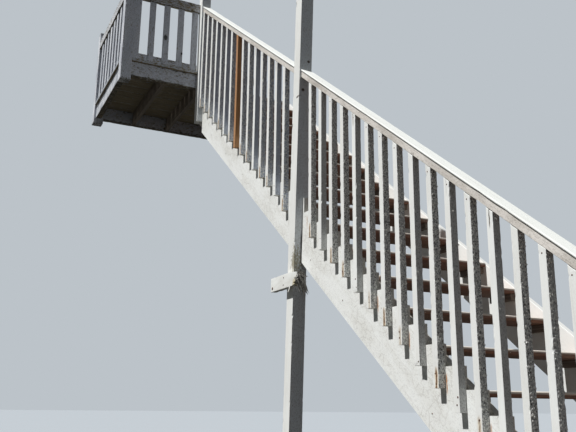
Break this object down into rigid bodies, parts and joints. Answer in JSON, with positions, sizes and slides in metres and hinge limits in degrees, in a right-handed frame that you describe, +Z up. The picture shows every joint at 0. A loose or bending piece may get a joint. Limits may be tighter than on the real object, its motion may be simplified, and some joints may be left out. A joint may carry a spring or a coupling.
{
  "type": "fire escape stair",
  "caption": "Straight timber fire escape flight along a wall, with open risers, a stepped skirt, a square-baluster rail and a railed landing.",
  "frame": {"origin": "bottom edge of the wall stringer's back face, below the nose of the lowest tread, at ground level", "axes": "+X down the flight, +Y towards the house wall and out of the wall stringer's back face, +Z up"},
  "size_m": [7.061, 1.872, 5.85],
  "materials": {
    "white_paint": "chalky white house paint, brushed, peeling to grey grain",
    "dirty_paint": "thin white paint, dirty and worn",
    "weathered_paint": "blue-grey weathered paint, peeling to brown timber",
    "tread_wood": "dark red-brown stained timber with worn pale noses",
    "new_wood": "unpainted planed timber",
    "raw_wood": "unpainted sawn timber, weathered"
  },
  "bodies": {
    "root": {"outer_stringer": "dirty_paint", "wall_stringer": "dirty_paint", "stepped_skirt": "white_paint", "tread_cleats": "raw_wood", "tread_01": "tread_wood", "tread_02": "tread_wood", "tread_03": "tread_wood", "tread_04": "tread_wood", "tread_05": "tread_wood", "tread_06": "tread_wood", "tread_07": "tread_wood", "tread_08": "tread_wood", "tread_09": "tread_wood", "tread_10": "tread_wood", "tread_11": "tread_wood", "tread_12": "tread_wood", "tread_13": "tread_wood", "tread_14": "tread_wood", "tread_15": "tread_wood", "tread_16": "tread_wood", "tread_17": "tread_wood", "tread_18": "tread_wood", "tread_19": "tread_wood", "tread_20": "tread_wood", "tread_21": "tread_wood", "tread_22": "tread_wood", "lower_balusters": "white_paint", "upper_balusters": "white_paint", "replacement_baluster": "new_wood", "lower_rail_cap": "white_paint", "upper_rail_cap": "white_paint", "lower_sub_rail": "dirty_paint", "upper_sub_rail": "dirty_paint", "mid_post": "white_paint", "post_stub": "white_paint", "foot_newel": "white_paint", "top_newel": "white_paint", "landing_deck": "weathered_paint", "landing_joists": "raw_wood", "wall_ledger": "raw_wood", "landing_rims": "weathered_paint", "landing_fascia": "weathered_paint", "landing_posts": "weathered_paint", "landing_rails": "weathered_paint", "landing_balusters": "weathered_paint"}
  },
  "joints": []
}
